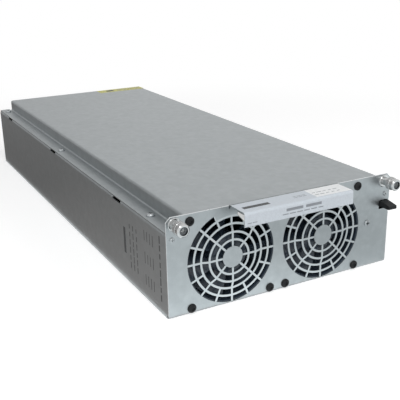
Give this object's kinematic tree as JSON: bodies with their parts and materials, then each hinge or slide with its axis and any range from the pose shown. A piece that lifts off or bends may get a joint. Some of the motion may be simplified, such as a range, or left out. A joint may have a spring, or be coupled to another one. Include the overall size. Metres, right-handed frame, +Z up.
{
  "type": "ups power module",
  "caption": "Slide-in power module: long flat folded-steel case with guarded fans, a front handle lip, captive thumb screws and a small release lever.",
  "frame": {"origin": "centre of the underside of the base sheet", "axes": "+Y from the front panel to the rear, +Z up from the underside, +X to the right seen from the front"},
  "size_m": [0.246, 0.611, 0.095],
  "materials": {
    "galvanised_steel": "satin zinc with a faint spangle",
    "zinc_fastener": "bright zinc plate",
    "nickel_plate": "bright nickel plate",
    "spring_steel": "drawn wire",
    "fan_plastic": "moulded, slight sheen",
    "black_plastic": "moulded, matt",
    "copper_winding": "enamelled wire",
    "insulating_film": "thin film",
    "board_laminate": "green solder mask",
    "brass_standoff": "turned",
    "heatsink_aluminium": "extruded",
    "capacitor_sleeve": "shrunk sleeve",
    "ferrite": "sintered"
  },
  "bodies": {
    "chassis": {"base_pan": "galvanised_steel", "side_wall_left": "galvanised_steel", "side_wall_right": "galvanised_steel", "top_cover": "galvanised_steel", "rear_panel": "galvanised_steel", "panel_rivets": "zinc_fastener", "cover_screws": "zinc_fastener", "bracket_screw": "zinc_fastener", "connector_screws": "zinc_fastener", "board_screws": "zinc_fastener", "fan_frame_left": "fan_plastic", "fan_frame_right": "fan_plastic", "fan_motor_left": "copper_winding", "fan_motor_right": "copper_winding", "fan_rivets": "black_plastic", "interlock_sensor": "black_plastic", "screw_ferrule_left": "nickel_plate", "screw_ferrule_right": "nickel_plate", "screw_spring_left": "spring_steel", "screw_spring_right": "spring_steel", "lever_spring": "spring_steel", "lever_bracket": "zinc_fastener", "lever_pin": "spring_steel", "insulating_sheet": "insulating_film", "main_board": "board_laminate", "control_board": "board_laminate", "board_standoffs": "brass_standoff", "heatsink_left": "heatsink_aluminium", "heatsink_right": "heatsink_aluminium", "power_transistors": "black_plastic", "capacitor_bank": "capacitor_sleeve", "inductors": "copper_winding", "transformer_core": "ferrite", "transformer_winding": "copper_winding", "rear_connector": "black_plastic", "rear_contacts": "brass_standoff"},
    "rotor_left": {"fan_rotor_left": "fan_plastic"},
    "rotor_right": {"fan_rotor_right": "fan_plastic"},
    "plunger_left": {"screw_washer_left": "nickel_plate"},
    "plunger_right": {"screw_washer_right": "nickel_plate"},
    "screw_left": {"captive_screw_left": "nickel_plate"},
    "screw_right": {"captive_screw_right": "nickel_plate"},
    "lever": {"release_lever": "black_plastic"}
  },
  "joints": [
    {"name": "fan_left_spin", "type": "hinge", "parent": "chassis", "child": "rotor_left", "pos_m": [-0.0589, -0.2935, 0.0467], "axis": [0, 1, 0], "continuous": true},
    {"name": "fan_right_spin", "type": "hinge", "parent": "chassis", "child": "rotor_right", "pos_m": [0.0408, -0.2935, 0.0467], "axis": [0, 1, 0], "continuous": true},
    {"name": "screw_left_push", "type": "slide", "parent": "chassis", "child": "plunger_left", "axis": [0, 1, 0], "range_m": [0, 0.005], "stiffness_N_per_m": 500, "springref_m": -0.004, "deforming": ["screw_spring_left"]},
    {"name": "screw_left_turn", "type": "hinge", "parent": "plunger_left", "child": "screw_left", "pos_m": [-0.1148, -0.2935, 0.088], "axis": [0, 1, 0], "continuous": true},
    {"name": "screw_right_push", "type": "slide", "parent": "chassis", "child": "plunger_right", "axis": [0, 1, 0], "range_m": [0, 0.005], "stiffness_N_per_m": 500, "springref_m": -0.004, "deforming": ["screw_spring_right"]},
    {"name": "screw_right_turn", "type": "hinge", "parent": "plunger_right", "child": "screw_right", "pos_m": [0.1148, -0.2935, 0.088], "axis": [0, 1, 0], "continuous": true},
    {"name": "lever_press", "type": "hinge", "parent": "chassis", "child": "lever", "pos_m": [0.1158, -0.2815, 0.064], "axis": [1, 0, 0], "range_deg": [0, 11], "stiffness_Nm_per_rad": 0.06, "springref_deg": -11.46, "deforming": ["lever_spring"]}
  ]
}
